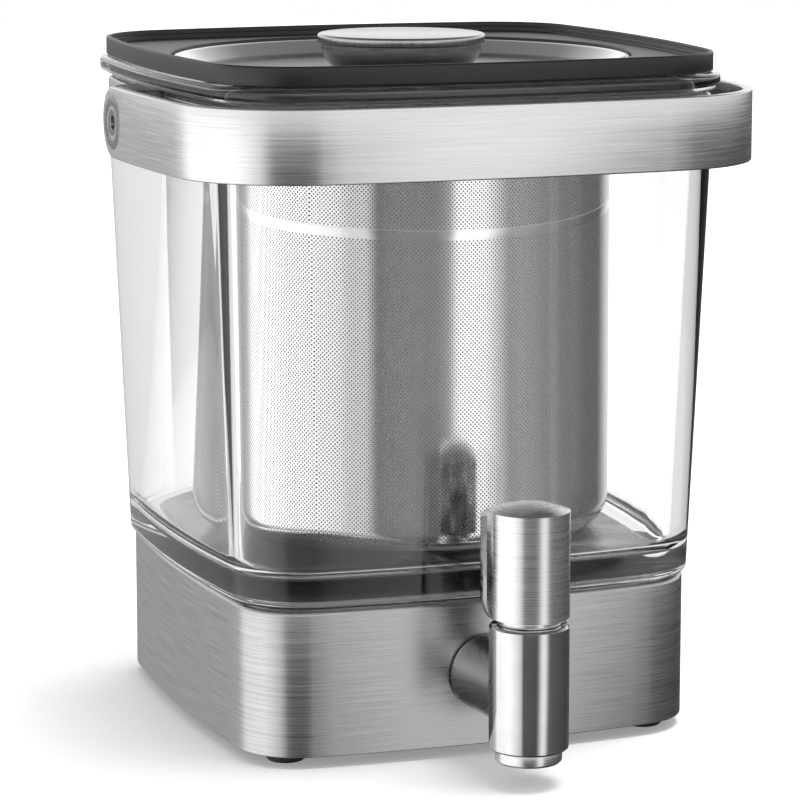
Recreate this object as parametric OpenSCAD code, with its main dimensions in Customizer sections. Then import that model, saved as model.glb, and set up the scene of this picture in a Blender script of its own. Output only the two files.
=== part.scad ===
// Cold brew coffee maker: a glass jar on a steel base with a tap, a band handle,
// and a perforated steeper that hangs in the jar's lid.
// Millimetres. +Z is up, the tap is at -Y, and the origin is on the table under the jar's axis.

/* [Base] */
// How far the base's sides lie inside the jar's lower edge
base_in = 2; // [1:0.1:4]
// Radius of the bow of the base's sides
base_bow = 520; // [400:10:700]
// Radius of the base's upright corners
base_corner = 19.3; // [16:0.1:23]
// Height of the steel base
base_h = 43.7; // [40:0.1:50]
// Gap between the table and the lower edge of the base
base_gap = 3.4; // [3:0.1:4.5]
// Thickness of the base's sheet steel
base_sheet = 1.2; // [0.8:0.1:1.8]
// Distance from the base's lower edge up to the bottom cover
cover_recess = 0.8; // [0.4:0.1:1.5]
// Thickness of the bottom cover
cover_t = 3; // [2.5:0.1:4]
// Thickness of the plate of the frame under the steel deck
frame_t = 3; // [2:0.1:4]
// Radius of the frame's screw posts
post_r = 4.5; // [3.5:0.1:6]
// Distance of the screw posts from the base's left and right side
post_in_x = 35; // [30:0.5:42]
// Distance of the screw posts from the base's front and back
post_in_y = 13; // [11:0.5:22]
// Radius of the bottom screws' shank
cover_screw_r = 1.5; // [1.25:0.05:2]
// Length of the bottom screws
cover_screw_len = 12; // [9:0.5:16]
// Radius of a rubber foot
foot_r = 5.85; // [5:0.05:7]
// Distance of the feet from the base's sides, both ways
foot_in = 16; // [14:0.5:24]
// Radius of the round edge under a foot
foot_round = 1.2; // [0.5:0.1:2]

/* [Jar] */
// Height of the glass jar
jar_h = 150.6; // [140:0.2:165]
// Width of the jar at its lower edge, which sets the width of all the rest
jar_w_low = 150; // [130:0.5:180]
// How much wider its sloping sides would be at the top of the jar
jar_flare = 11; // [9:0.2:14]
// Radius of the bow of the jar's sides
jar_bow = 480; // [400:10:650]
// Radius of the jar's upright corners
jar_corner = 24; // [20:0.2:27]
// Thickness of the glass wall
jar_wall = 5; // [4:0.1:5.5]
// Height of the jar's inner floor above its lower edge
jar_floor = 7.6; // [7:0.1:10]
// Depth of the recess under the jar
jar_recess = 1.7; // [1:0.1:2.2]
// Width of the heel round the recess
jar_heel = 9; // [7:0.1:12]
// Radius between the inner wall and the inner floor
jar_fillet = 6; // [4:0.1:8]
// Depth of the neck's recess under the lip, from the sloping sides
neck_in = 2; // [1.5:0.1:2.5]
// How far the lip stands out from the neck
lip_out = 3.5; // [3:0.1:4.5]
// Height of the lip
lip_h = 4.8; // [4:0.1:6]
// How far the jar's silicone seat lifts the glass off the steel
seat_proud = 0.3; // [0.2:0.05:0.6]

/* [Neck collar and band handle] */
// Thickness of the collar's soft liner
liner_t = 0.4; // [0.3:0.05:0.6]
// Thickness of the collar strap
collar_t = 0.8; // [0.6:0.05:1.2]
// Height of the collar strap
collar_h = 17.5; // [14:0.1:18]
// Drop of the handle's pivots below the top of the jar
pivot_drop = 15.4; // [15:0.1:17]
// Distance from the neck's glass to the outer face of the band's arms
arm_out = 12.6; // [12:0.1:16]
// Radius of the bow of the band's sides
band_bow = 632; // [500:10:800]
// Radius of the band's corners
band_corner = 36.6; // [32:0.2:40]
// Height of the band
band_h = 21.2; // [18:0.2:22]
// Thickness of the band
band_t = 2.8; // [2.4:0.1:3]
// Radius of the disc round each pivot
disc_r = 8; // [7.8:0.1:8.6]
// Radius of the pivot screws' shoulder
shoulder_r = 3; // [2.5:0.1:3.2]
// Radius of the pivot screws' head
pivot_head_r = 4.75; // [4.4:0.05:5.2]
// Distance of the stop pins from the pivot
stop_at = 6.2; // [5.9:0.1:6.4]
// Radius of the stop pins
stop_r = 1.2; // [1:0.05:1.3]

/* [Jar lid] */
// How far the lid's sides lie inside the jar's lip
lid_in = 1.4; // [0.5:0.1:3]
// Radius of the bow of the lid's sides
lid_bow = 443; // [380:10:600]
// Radius of the lid's corners
lid_corner = 26; // [22:0.2:29]
// Thickness of the lid's plate
lid_plate = 2.7; // [2.2:0.1:3.5]
// Height of the lid's raised edge over its plate
lid_edge_h = 3; // [2:0.1:4]
// Thickness of the lid's raised edge
lid_edge_t = 1.3; // [1:0.1:2]
// Gap between the steeper's rim and the round opening in the lid
mouth_gap = 0.7; // [0.4:0.1:1.2]
// Thickness of the wall round the opening
mouth_wall = 2; // [1.6:0.1:2]
// Length of the lid's skirt inside the jar
skirt_h = 10.3; // [8:0.1:14]
// Gap between the skirt and the glass
skirt_gap = 1.2; // [1:0.05:1.5]

/* [Steeper] */
// Gap between the steeper and the glass at the foot of the jar
steeper_gap = 6.9; // [6:0.1:10]
// Thickness of the steeper's sheet
steeper_t = 0.5; // [0.4:0.05:0.8]
// Gap between the steeper and the jar's floor
steeper_lift = 2.5; // [2:0.1:6]
// Outer radius of the round edge of the steeper's bottom
steeper_edge = 7.5; // [6:0.1:10]
// Width of the hanging rim beyond the steeper's wall
rim_reach = 6.1; // [5.5:0.1:6.3]
// Height of the smooth ring that marks the fill line, above the steeper's bottom
fill_line = 96; // [80:0.5:100]
// Depth of the dish of the steeper's lid
dish_depth = 4.7; // [4:0.1:6]
// Radius of the knob's cap
knob_r = 25.5; // [20:0.1:30]
// How much the knob's cup is slimmer at its foot
knob_slim = 5.5; // [3:0.1:7]
// Height of the knob's cup
knob_cup_h = 8.5; // [7:0.1:12]
// Height of the knob's cap
knob_cap_h = 2.85; // [2.2:0.05:4]

/* [Tap] */
// Distance of the tap's axis in front of the base
tap_reach = 32.2; // [30:0.1:40]
// Height of the inlet's axis above the table
inlet_z = 25; // [24:0.1:27]
// Radius of the tap's body
tap_r = 11.46; // [11.2:0.02:12]
// Height of the lower end of the tap's body above the table
tap_low = 10.7; // [8:0.1:12]
// Height of the tap's body
tap_h = 36.3; // [35:0.1:40]
// Radius of the nozzle ring
nozzle_r = 9.6; // [9:0.1:10.5]
// Height of the nozzle ring
nozzle_h = 3.85; // [3:0.05:5]
// Radius of the boss that joins the tap to the base
boss_r = 11.8; // [11.5:0.05:13]
// Height of the valve's seat above the lower end of the tap's body
seat_up = 5.3; // [5:0.1:6]
// Radius of the threaded shank
shank_r = 7; // [6.5:0.05:7.5]
// Radius of the water way through shank and tap
way_r = 3.8; // [3:0.05:4]
// Radius of the bonnet that the lever rocks on
bonnet_r = 9; // [8.8:0.05:9.6]
// Height of the bonnet over the tap's body
bonnet_h = 2; // [1.6:0.1:3]
// Radius of the valve stem
stem_r = 2; // [1.8:0.05:2.2]
// Height of the lever
lever_h = 32.9; // [28:0.1:36]
// Depth of the lever behind the tap's axis
lever_back = 10; // [9:0.1:12]
// Depth of the lever's bright cover behind the tap's axis
cover_back = 4; // [3:0.1:6]
// Thickness of the lever's bright cover
lever_cover_t = 1.2; // [1:0.05:1.5]
// Radius of the lever's domed top
dome_r = 29; // [24:0.5:32]
// Radius of the round corner at the lever's lower back
heel_round = 8; // [6:0.1:8.5]
// Radius of the round corner at the bright cover's lower back
cover_round = 6; // [4:0.1:8]
// Height of the lever's pin above its lower face
pin_up = 8; // [7:0.1:10]
// Radius of the lever's pin
pin_r = 1.5; // [1.2:0.05:1.8]
// Largest tilt of the lever, in degrees
lever_tilt = 30; // [20:1:32]

/* [Hidden] */
$fn = 96;
eps = 0.01;             // overshoot of a cut past the face that it opens
past = 5;               // length of a cut past a face where nothing is in its way
free = 0.3;             // gap between pieces that move apart
play = 0.05;            // radial gap of a pin or shaft that turns or slides

// colours, as the eye takes them
steel = "silver";
bright = "gainsboro";
dark = "dimgray";
black = "#202224";
rubber = "#151515";
soft = "#d9dcdc";

// widths, from the jar's lower edge
jar_w_high = jar_w_low + jar_flare;
base_w = jar_w_low - 2 * base_in;
neck_w = jar_w_high - 2 * neck_in;
lip_w = neck_w + 2 * lip_out;
lid_w = lip_w - 2 * lid_in;
band_w = neck_w + 2 * arm_out;
steeper_r = jar_w_low / 2 - jar_wall - steeper_gap;
mouth_r = steeper_r + rim_reach + mouth_gap;
post_x = base_w / 2 - post_in_x;
post_y = base_w / 2 - post_in_y;
foot_at = base_w / 2 - foot_in;

// heights of the base
base_top = base_gap + base_h;
deck_low = base_top - base_sheet;
frame_low = deck_low - frame_t;
cover_low = base_gap + cover_recess;
cover_top = cover_low + cover_t;
inner_gap = base_sheet + free;      // inset of the pieces inside the steel shell

// heights of the jar
jar_low = base_top + seat_proud;
jar_top = jar_low + jar_h;
floor_z = jar_low + jar_floor;
seat_top = jar_low + jar_recess;
lip_low = jar_top - lip_h;
pivot_z = jar_top - pivot_drop;
collar_low = pivot_z - collar_h / 2;
neck_low = collar_low - free;
heel_r = 2;                         // round outer edge under the jar
lip_round = 1.5;                    // round edges of the lip
function jar_w(z) = jar_w_low + (jar_w_high - jar_w_low) * (z - jar_low) / jar_h;

// drain through the jar's floor
drain_r = 6;                        // threaded stem of the drain fitting
drain_flange_r = 11;
drain_flange_t = 1.6;
gasket_t = 1;
drain_way_r = 4;
nut_h = 6;
drain_nut_r = 11.5;                 // corners of the hexagon
spigot_wall = 1.2;
spigot_r = way_r + spigot_wall;     // hose spigots of drain and shank
hose_wall = 1.8;
hose_grip = 13;                     // length of hose on each spigot
clamp_w = 6;
clamp_t = 0.8;
clamp_tab_w = 8;                    // the clamps' screw housing
clamp_tab_h = 4;
clamp_in = 2;                       // distance of the clamps from the hose's ends
drain_spigot_end = drain_nut_r + free + hose_grip;  // distance of the spigot's end from the jar's axis
seat_hole = drain_r + free;

// tap, measured along -Y
front_y = -base_w / 2;
tap_y = front_y - tap_reach;
tap_top = tap_low + tap_h;
washer_t = 1;
shank_in = 12;                      // shank inside the boss
shank_nut_h = 6;
shank_nut_r = 11.2;
shank_washer_t = 1.4;
shank_end = 13.2;                   // length of the thread inside the base
shank_spigot = 14;
chamber_r = bonnet_r - 1;
seat_z = tap_low + seat_up;         // valve seat, at the bottom of the chamber
seat_web = 2;
outlet_r = 4.5;
nozzle_spigot_r = 6.5;
nozzle_way_r = 5.2;
plug_h = 7;                         // threaded plug of the bonnet
bonnet_top = tap_top + bonnet_h;
seal_w = 1.6;

// valve stem and lever
lever_low = bonnet_top + free;
lever_top = lever_low + lever_h;
pin_z = lever_low + pin_up;
eye_wall = 2.4;
eye_r = pin_r + eye_wall;
eye_half = 3;
slot_half = eye_half + free;
slot_front = pin_up * tan(lever_tilt) + stem_r / cos(lever_tilt) + free;
pin_end = 0.8;                      // how far the pin's ends stay inside the cover
pin_half = tap_r - lever_cover_t - pin_end;
cup_r = 6;
cup_h = 4.8;
cup_off = 0.1;                      // gap between the closed cup and its seat
cup_z = seat_z + cup_off;
spring_plate_t = 1;
spring_low = cup_z + cup_h + spring_plate_t;
spring_high = tap_top - plug_h;
spring_wire = 0.6;
spring_gap = 1.9;                   // from the stem to the middle of the spring's wire
spring_r = stem_r + spring_gap;
spring_turns = 5;
lever_end_r = 1.2;                  // upright round corners at the back of the lever

// band handle
disc_deep = 1.2;                    // seat of the disc in the arm
disc_proud = 0.1;
bush_wall = 1;
disc_x = band_w / 2 - disc_deep;
disc_out = band_w / 2 + disc_proud;
bush_r = shoulder_r + bush_wall;
head_t = 0.8;
head_sink = 0.15;
arm_in = band_w / 2 - band_t;
lug_out = arm_in - 2 * free;
bush_in = arm_in - free;
pivot_thread_r = 2;
slot_deep = 2.6;                    // depth of the stop slot in the lug
socket_r = 2.3;                     // corners of the hexagon socket
collar_grow = liner_t + collar_t;
clamp_gap = 2.5;                    // half of the gap between the collar's ends
ear_t = 1.2;
ear_reach = 7.5;
ear_h = 12;
collar_screw_r = 2;
collar_head_h = 2.4;
collar_key_h = 1.6;                 // depth of the hexagon socket in the head
collar_nut_h = 3;
collar_nut_r = collar_screw_r + 1.4;
collar_screw_y = neck_w / 2 + collar_grow + collar_nut_r;

// jar lid and steeper
lid_low = jar_top + free;
plate_top = lid_low + lid_plate;
lid_top = plate_top + lid_edge_h;
skirt_low = lid_low - skirt_h;
skirt_t = 2;
skirt_inset = jar_wall + skirt_gap;
seal_up = 2.5;                      // height of the seal above the skirt's lower edge
seal_low = skirt_low + seal_up;
seal_h = 3;
seal_deep = 0.6;
seal_out = skirt_gap - free - 0.4;
rim_r = steeper_r + rim_reach;
ledge_deep = 1.7;                   // ledge in the lid that carries the steeper's rim
ledge_bite = 1.6;
ledge_top = lid_low - ledge_deep;
ledge_t = 1.5;
ledge_r = rim_r - ledge_bite;
rim_low = ledge_top + free;
rim_t = 1;
sleeve_t = 1;
sleeve_h = 11;
flare_t = 0.8;
flare_h = 3.9;                      // height over which the steeper's mouth widens into its rim
flare_reach = 4.3;
flare_low = rim_low + rim_t - flare_h;
flare_turn = atan(flare_h / flare_reach);
bottom_z = floor_z + steeper_lift;
bottom_join = bottom_z + steeper_edge + 1;
dish_t = 0.8;
dish_flange_low = rim_low + rim_t + free;
dish_flange_t = 2;
dish_top = dish_flange_low + dish_flange_t;
dish_floor = dish_top - dish_depth;
knob_foot_r = knob_r - knob_slim;
knob_wall = 2;
cap_low = dish_floor + knob_cup_h;
cap_top = cap_low + knob_cap_h;
knob_screw_r = 2;
knob_head_h = 2.2;
knob_cross_w = 1;                   // width and depth of the cross recess in its head

base_plan = [base_w, base_bow, base_corner];
neck_plan = [neck_w, jar_bow, jar_corner];
band_plan = [band_w, band_bow, band_corner];
lid_plan = [lid_w, lid_bow, lid_corner];
mouth_plan = [jar_w_high, jar_bow, jar_corner];

// ---- outlines -------------------------------------------------------------

// A plan is [width, radius of the bowed sides, radius of the corners].
function corner_at(plan) = let (a = plan[0] / 2, bow = plan[1], r = plan[2])
    (a - bow + sqrt(2 * pow(bow - r, 2) - pow(bow - a, 2))) / 2;
function corner_turn(plan) = let (c = corner_at(plan)) atan2(c, c + plan[1] - plan[0] / 2);
function turned(p, q) = [p[0] * cos(90 * q) - p[1] * sin(90 * q), p[0] * sin(90 * q) + p[1] * cos(90 * q)];

side_steps = 6;
corner_steps = 8;

// A square with bowed sides and round corners that run into them smoothly, made smaller all
// round by inset.
function outline(plan, inset = 0) =
    let (c = corner_at(plan), t = corner_turn(plan), r = plan[2] - inset,
         bow = plan[1] - inset, off = plan[0] / 2 - plan[1])
    [for (q = [0:3]) each concat(
        [for (i = [0:side_steps - 1]) let (s = t * (2 * i / side_steps - 1))
            turned([off + bow * cos(s), bow * sin(s)], q)],
        [for (i = [0:corner_steps - 1]) let (s = t + (90 - 2 * t) * i / corner_steps)
            turned([c + r * cos(s), c + r * sin(s)], q)])];

module bowed_square(plan, inset = 0) { polygon(outline(plan, inset)); }

module bowed_ring(plan, outer, inner) {
    difference() {
        bowed_square(plan, outer);
        bowed_square(plan, inner);
    }
}

// The same outline at several heights, for walls that slope. A level is [z, plan, inset].
module loft(levels) {
    n = 4 * (side_steps + corner_steps);
    last = len(levels) - 1;
    polyhedron(
        points = [for (level = levels) for (p = outline(level[1], level[2])) [each p, level[0]]],
        faces = concat(
            [[for (i = [0:n - 1]) i]],
            [for (k = [0:last - 1]) for (i = [0:n - 1]) let (j = (i + 1) % n)
                [k * n + i, (k + 1) * n + i, (k + 1) * n + j, k * n + j]],
            [[for (i = [n - 1:-1:0]) last * n + i]]));
}

// ---- small shapes ---------------------------------------------------------

module rod(r, low, high) { translate([0, 0, low]) cylinder(r = r, h = high - low); }

module tube(r_out, r_in, low, high) {
    difference() {
        rod(r_out, low, high);
        rod(r_in, low - past, high + past);
    }
}

// Local +Z runs towards the back, from the given y, at the inlet's height.
module along_y(y) { translate([0, y, inlet_z]) rotate([-90, 0, 0]) children(); }

// Local +Z runs to the right, through the handle's pivots.
module along_pivot() { translate([0, 0, pivot_z]) rotate([0, 90, 0]) children(); }

module both_sides() {
    children();
    mirror([1, 0, 0]) children();
}

module four_corners(x, y) {
    for (sx = [-1, 1]) for (sy = [-1, 1]) translate([sx * x, sy * y, 0]) children();
}

module hexagon(r) { circle(r, $fn = 6); }

// Half the section of a round piece with a round lower edge.
module cup_section(r, edge, low, high) {
    intersection() {
        union() {
            translate([0, low]) square([r - edge, high - low]);
            translate([0, low + edge]) square([r, high - low]);
            translate([r - edge, low + edge]) circle(edge);
        }
        translate([0, low]) square([r, high - low]);
    }
}

// ---- base -----------------------------------------------------------------

module base_shell() {
    color(steel) difference() {
        translate([0, 0, base_gap]) linear_extrude(base_h) bowed_square(base_plan);
        translate([0, 0, base_gap - past]) linear_extrude(deck_low - base_gap + past)
            bowed_square(base_plan, base_sheet);
        rod(seat_hole, deck_low - past, base_top + past);
        along_y(front_y - past) cylinder(r = shank_r + free, h = past + base_sheet + past);
    }
}

module base_frame() {
    color(black) difference() {
        union() {
            translate([0, 0, frame_low]) linear_extrude(frame_t) bowed_square(base_plan, inner_gap);
            four_corners(post_x, post_y) rod(post_r, cover_top, frame_low + eps);
        }
        rod(seat_hole, frame_low - past, deck_low + past);
        four_corners(post_x, post_y) rod(cover_screw_r, cover_top - past, cover_low + cover_screw_len + 1);
    }
}

cross_w = 0.8;                      // width and depth of the screws' cross recess
screw_head_r = 2 * cover_screw_r;
screw_head_h = screw_head_r - cover_screw_r;

module screw_cone() {
    translate([0, 0, cover_low + free]) cylinder(r1 = screw_head_r, r2 = cover_screw_r, h = screw_head_h);
}

module bottom_cover() {
    color(black) difference() {
        translate([0, 0, cover_low]) linear_extrude(cover_t) bowed_square(base_plan, inner_gap);
        four_corners(post_x, post_y) {
            screw_cone();
            rod(screw_head_r, cover_low - past, cover_low + free);
            rod(cover_screw_r, cover_low, cover_top + past);
        }
        four_corners(foot_at, foot_at) rod(foot_stem_r, cover_low - past, cover_top + past);
    }
}

module bottom_screws() {
    color(steel) four_corners(post_x, post_y) difference() {
        union() {
            screw_cone();
            rod(cover_screw_r, cover_low + free + screw_head_h - eps, cover_low + cover_screw_len);
        }
        for (turn = [0, 90]) rotate(turn)
            translate([-cover_screw_r, -cross_w / 2, cover_low])
                cube([2 * cover_screw_r, cross_w, free + cross_w]);
    }
}

foot_stem_r = 2.5;
foot_head_r = 3.5;
foot_head_h = 1.5;

module feet() {
    color(rubber) four_corners(foot_at, foot_at) {
        rotate_extrude() cup_section(foot_r, foot_round, 0, cover_low);
        rod(foot_stem_r, cover_low - eps, cover_top + foot_head_h);
        rod(foot_head_r, cover_top, cover_top + foot_head_h);
    }
}

// ---- jar and drain --------------------------------------------------------

low_plan = [jar_w_low, jar_bow, jar_corner];

module jar_seat() {
    color(soft) difference() {
        translate([0, 0, base_top]) linear_extrude(seat_top - base_top)
            bowed_square(low_plan, jar_heel + free);
        rod(seat_hole, base_top - past, seat_top + past);
    }
}

function jar_plan(z) = [jar_w(z), jar_bow, jar_corner];
lip_plan = [lip_w, jar_bow, jar_corner + 1];
round_steps = 4;

// Levels up the outside of the glass, over the lip, and down the inside to the floor.
heel_levels = [for (i = [0:round_steps]) let (s = 90 * i / round_steps, z = jar_low + heel_r * (1 - cos(s)))
    [z, jar_plan(z), heel_r * (1 - sin(s))]];
lip_levels = [[neck_low - free, jar_plan(neck_low), 0], [neck_low, neck_plan, 0],
    [lip_low - free, neck_plan, 0],
    for (i = [0:round_steps]) let (s = 90 * i / round_steps)
        [lip_low + lip_round * (1 - cos(s)), lip_plan, lip_round * (1 - sin(s))],
    for (i = [0:round_steps]) let (s = 90 * i / round_steps)
        [jar_top - lip_round * (1 - sin(s)), lip_plan, lip_round * (1 - cos(s))]];
inner_levels = [[jar_top, mouth_plan, jar_wall - free], [jar_top - free, mouth_plan, jar_wall],
    for (i = [0:round_steps]) let (s = 90 * i / round_steps, z = floor_z + jar_fillet * (1 - sin(s)))
        [z, jar_plan(z), jar_wall + jar_fillet * (1 - cos(s))]];

module glass_jar() {
    color("lightblue", 0.35) difference() {
        loft(concat(heel_levels, lip_levels, inner_levels));
        translate([0, 0, jar_low - past]) linear_extrude(past + jar_recess)
            bowed_square(low_plan, jar_heel);
        rod(seat_hole, jar_low, floor_z + past);
        rod(drain_flange_r + free, floor_z - drain_flange_t - gasket_t, floor_z + past);
    }
}

drain_flange_low = floor_z - drain_flange_t;

module drain_fitting() {
    color(steel) difference() {
        union() {
            rod(drain_flange_r, drain_flange_low, floor_z);
            rod(drain_r, inlet_z, drain_flange_low + eps);
            translate([0, 0, inlet_z]) sphere(drain_r);
            along_y(-drain_spigot_end) cylinder(r = spigot_r, h = drain_spigot_end);
        }
        rod(drain_way_r, inlet_z, floor_z + past);
        translate([0, 0, inlet_z]) sphere(drain_way_r);
        along_y(-drain_spigot_end - past) cylinder(r = way_r - free, h = drain_spigot_end + past);
    }
}

module drain_gaskets() {
    color(soft) {
        tube(drain_flange_r, drain_r, drain_flange_low - gasket_t, drain_flange_low);
        tube(drain_flange_r, drain_r, frame_low - gasket_t, frame_low);
    }
}

module drain_nut() {
    color(steel) difference() {
        translate([0, 0, frame_low - gasket_t - nut_h]) linear_extrude(nut_h) hexagon(drain_nut_r);
        rod(drain_r, frame_low - gasket_t - nut_h - past, frame_low);
    }
}

// ---- hose between drain and shank -----------------------------------------

shank_spigot_end = front_y + base_sheet + shank_end + shank_spigot;
hose_front = shank_spigot_end - hose_grip;
hose_back = hose_grip - drain_spigot_end;

module outlet_hose() {
    color(soft) along_y(hose_front) tube(spigot_r + hose_wall, spigot_r, 0, hose_back - hose_front);
}

module hose_clamp() {
    r = spigot_r + hose_wall;
    tube(r + clamp_t, r, 0, clamp_w);
    difference() {
        translate([-clamp_tab_w / 2, -r - clamp_t - clamp_tab_h, 0])
            cube([clamp_tab_w, clamp_tab_h + r, clamp_w]);
        rod(r + clamp_t / 2, -past, clamp_w + past);
    }
}

module hose_clamps() {
    color(steel) {
        along_y(hose_front + clamp_in) hose_clamp();
        along_y(hose_back - clamp_in - clamp_w) hose_clamp();
    }
}

// ---- tap ------------------------------------------------------------------

module tap_shank() {
    y = front_y - washer_t - shank_in;
    len = shank_spigot_end - y;
    color(steel) along_y(y) difference() {
        union() {
            cylinder(r = shank_r, h = len - shank_spigot);
            cylinder(r = spigot_r, h = len);
        }
        translate([0, 0, -past]) cylinder(r = way_r, h = len + 2 * past);
    }
}

module tap_washer() {
    color(rubber) along_y(front_y - washer_t) tube(boss_r - 0.5, shank_r + free, 0, washer_t);
}

module shank_washer() {
    color(black) along_y(front_y + base_sheet + free) tube(shank_nut_r, shank_r, 0, shank_washer_t);
}

module shank_nut() {
    color(steel) along_y(front_y + base_sheet + free + shank_washer_t) difference() {
        linear_extrude(shank_nut_h) hexagon(shank_nut_r);
        rod(shank_r, -past, shank_nut_h + past);
    }
}

boss_len = tap_reach - washer_t;
boss_waist = 0.9;                   // how much the boss is slimmer in its middle
boss_steps = 8;
chamfer = 0.6;

// Half of the boss's section: full at the base, slim in the middle.
boss_side = [for (i = [0:boss_steps]) let (s = i / boss_steps)
    [boss_r - boss_waist * sin(150 * s), boss_len * (1 - s)]];

module tap_axis() { translate([0, tap_y, 0]) children(); }

module tap_body() {
    color(bright) difference() {
        union() {
            tap_axis() rotate_extrude() polygon([
                [0, tap_low], [tap_r - chamfer, tap_low], [tap_r, tap_low + chamfer],
                [tap_r, tap_top - chamfer], [tap_r - chamfer, tap_top], [0, tap_top]]);
            along_y(tap_y) rotate_extrude() polygon(concat([[0, boss_len]], boss_side, [[0, 0]]));
        }
        tap_axis() {
            rod(chamber_r, seat_z, tap_top + past);
            rod(outlet_r, tap_low - past, seat_z + past);
            rod(nozzle_spigot_r, tap_low - past, seat_z - seat_web);
        }
        along_y(tap_y) cylinder(r = way_r, h = boss_len + past);
        along_y(front_y - washer_t - shank_in) cylinder(r = shank_r, h = shank_in + past);
    }
}

module nozzle_ring() {
    low = tap_low - nozzle_h;
    color(steel) tap_axis() rotate_extrude() polygon([
        [nozzle_way_r, low], [nozzle_r - chamfer, low], [nozzle_r, low + chamfer],
        [nozzle_r, tap_low], [nozzle_spigot_r, tap_low], [nozzle_spigot_r, seat_z - seat_web - free],
        [nozzle_way_r, seat_z - seat_web - free]]);
}

seal_z = tap_top - plug_h / 2;
seal_r = stem_r + play + seal_w / 2;

module tap_bonnet() {
    color(steel) tap_axis() difference() {
        union() {
            rod(chamber_r, tap_top - plug_h, tap_top + eps);
            rod(bonnet_r, tap_top, bonnet_top);
        }
        rod(stem_r + play, tap_top - plug_h - past, bonnet_top + past);
        tube(seal_r + seal_w / 2, stem_r, seal_z - seal_w / 2, seal_z + seal_w / 2);
    }
}

module stem_seal() {
    color(rubber) tap_axis() translate([0, 0, seal_z]) rotate_extrude()
        translate([seal_r, 0]) circle(seal_w / 2 - eps);
}

// Local +Z runs to the right, through the lever's pin.
module along_pin() { translate([0, tap_y, pin_z]) rotate([0, 90, 0]) children(); }

module valve_stem() {
    color(steel) difference() {
        union() {
            tap_axis() rod(stem_r, cup_z + 1, pin_z);
            tap_axis() rod(spring_r + spring_wire, spring_low - spring_plate_t, spring_low);
            along_pin() translate([0, 0, -eye_half]) cylinder(r = eye_r, h = 2 * eye_half);
        }
        along_pin() translate([0, 0, -past]) cylinder(r = pin_r + play, h = 2 * past);
    }
}

module seat_cup() {
    color(soft) tap_axis() difference() {
        rod(cup_r, cup_z, cup_z + cup_h);
        rod(stem_r, cup_z + 1, cup_z + cup_h + past);
    }
}

coil_steps = 12;                    // rings per turn of the spring
coil_sides = 6;

function coil_ring(s) =
    let (turn = 360 * s, free_len = spring_high - spring_low - 2 * spring_wire - 2 * eps,
         z = spring_low + spring_wire + eps + free_len * s / spring_turns)
    [for (k = [0:coil_sides - 1]) let (w = 360 * k / coil_sides, r = spring_r + spring_wire * cos(w))
        [r * cos(turn), r * sin(turn), z + spring_wire * sin(w)]];

module valve_spring() {
    count = spring_turns * coil_steps;
    rings = [for (i = [0:count]) coil_ring(i / coil_steps)];
    color(steel) tap_axis() polyhedron(
        points = [for (ring = rings) each ring],
        faces = concat(
            [[for (k = [0:coil_sides - 1]) k]],
            [for (i = [0:count - 1]) for (k = [0:coil_sides - 1]) let (m = (k + 1) % coil_sides)
                each [[i * coil_sides + k, (i + 1) * coil_sides + k, (i + 1) * coil_sides + m],
                      [i * coil_sides + k, (i + 1) * coil_sides + m, i * coil_sides + m]]],
            [[for (k = [coil_sides - 1:-1:0]) count * coil_sides + k]]));
}

// ---- lever ----------------------------------------------------------------

// Seen from above: a half round front, straight sides, and a back with round corners.
module lever_plan(inset = 0) {
    r = tap_r - inset;
    back = lever_back - inset;
    corner = lever_end_r - inset;
    circle(r);
    translate([-r, 0]) square([2 * r, back - corner]);
    translate([-r + corner, 0]) square([2 * (r - corner), back]);
    for (side = [-1, 1]) translate([side * (r - corner), back - corner]) circle(corner);
}

// Everything under the dome and in front of the round lower back, made smaller by inset at the dome.
module lever_space(inset = 0) {
    intersection() {
        translate([0, 0, lever_top - dome_r]) sphere(dome_r - inset);
        union() {
            translate([-2 * tap_r, -2 * tap_r, lever_low])
                cube([4 * tap_r, 2 * tap_r + lever_back - heel_round, lever_h]);
            translate([-2 * tap_r, -2 * tap_r, lever_low + heel_round]) cube([4 * tap_r, 4 * tap_r, lever_h]);
            translate([-2 * tap_r, lever_back - heel_round, lever_low + heel_round]) rotate([0, 90, 0])
                cylinder(r = heel_round, h = 4 * tap_r);
        }
    }
}

module upright(low, high) { translate([0, 0, low]) linear_extrude(high - low) children(); }

// What lies in front of the cover's rear edge, which ends in a round lower corner.
module cover_zone() {
    wide = 6 * tap_r;
    corner_y = cover_back - cover_round;
    corner_z = lever_low + cover_round;
    translate([-wide / 2, -2 * tap_r, lever_low - 2 * past]) cube([wide, 2 * tap_r + corner_y, lever_h + 4 * past]);
    translate([-wide / 2, corner_y - eps, corner_z]) cube([wide, cover_round + eps, lever_h]);
    translate([-wide / 2, corner_y, corner_z]) rotate([0, 90, 0]) cylinder(r = cover_round, h = wide);
}

// The dark core: slim where the cover wraps it, full behind the cover.
module lever_core() {
    intersection() {
        lever_space(lever_cover_t);
        union() {
            upright(lever_low - eps, lever_top) lever_plan(lever_cover_t);
            difference() {
                upright(lever_low - eps, lever_top) lever_plan();
                cover_zone();
            }
        }
    }
}

// Room for the stem and its eye, so far forward that the lever can tilt round them.
module lever_slot() {
    translate([-slot_half, -slot_front, lever_low - past])
        cube([2 * slot_half, slot_front + stem_r + free, pin_up + past]);
    translate([-slot_half, 0, pin_z]) rotate([0, 90, 0]) cylinder(r = eye_r + free, h = 2 * slot_half);
}

module tap_lever() {
    color(dark) tap_axis() difference() {
        lever_core();
        lever_slot();
        translate([-pin_half, 0, pin_z]) rotate([0, 90, 0]) cylinder(r = pin_r, h = 2 * pin_half);
    }
}

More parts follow.
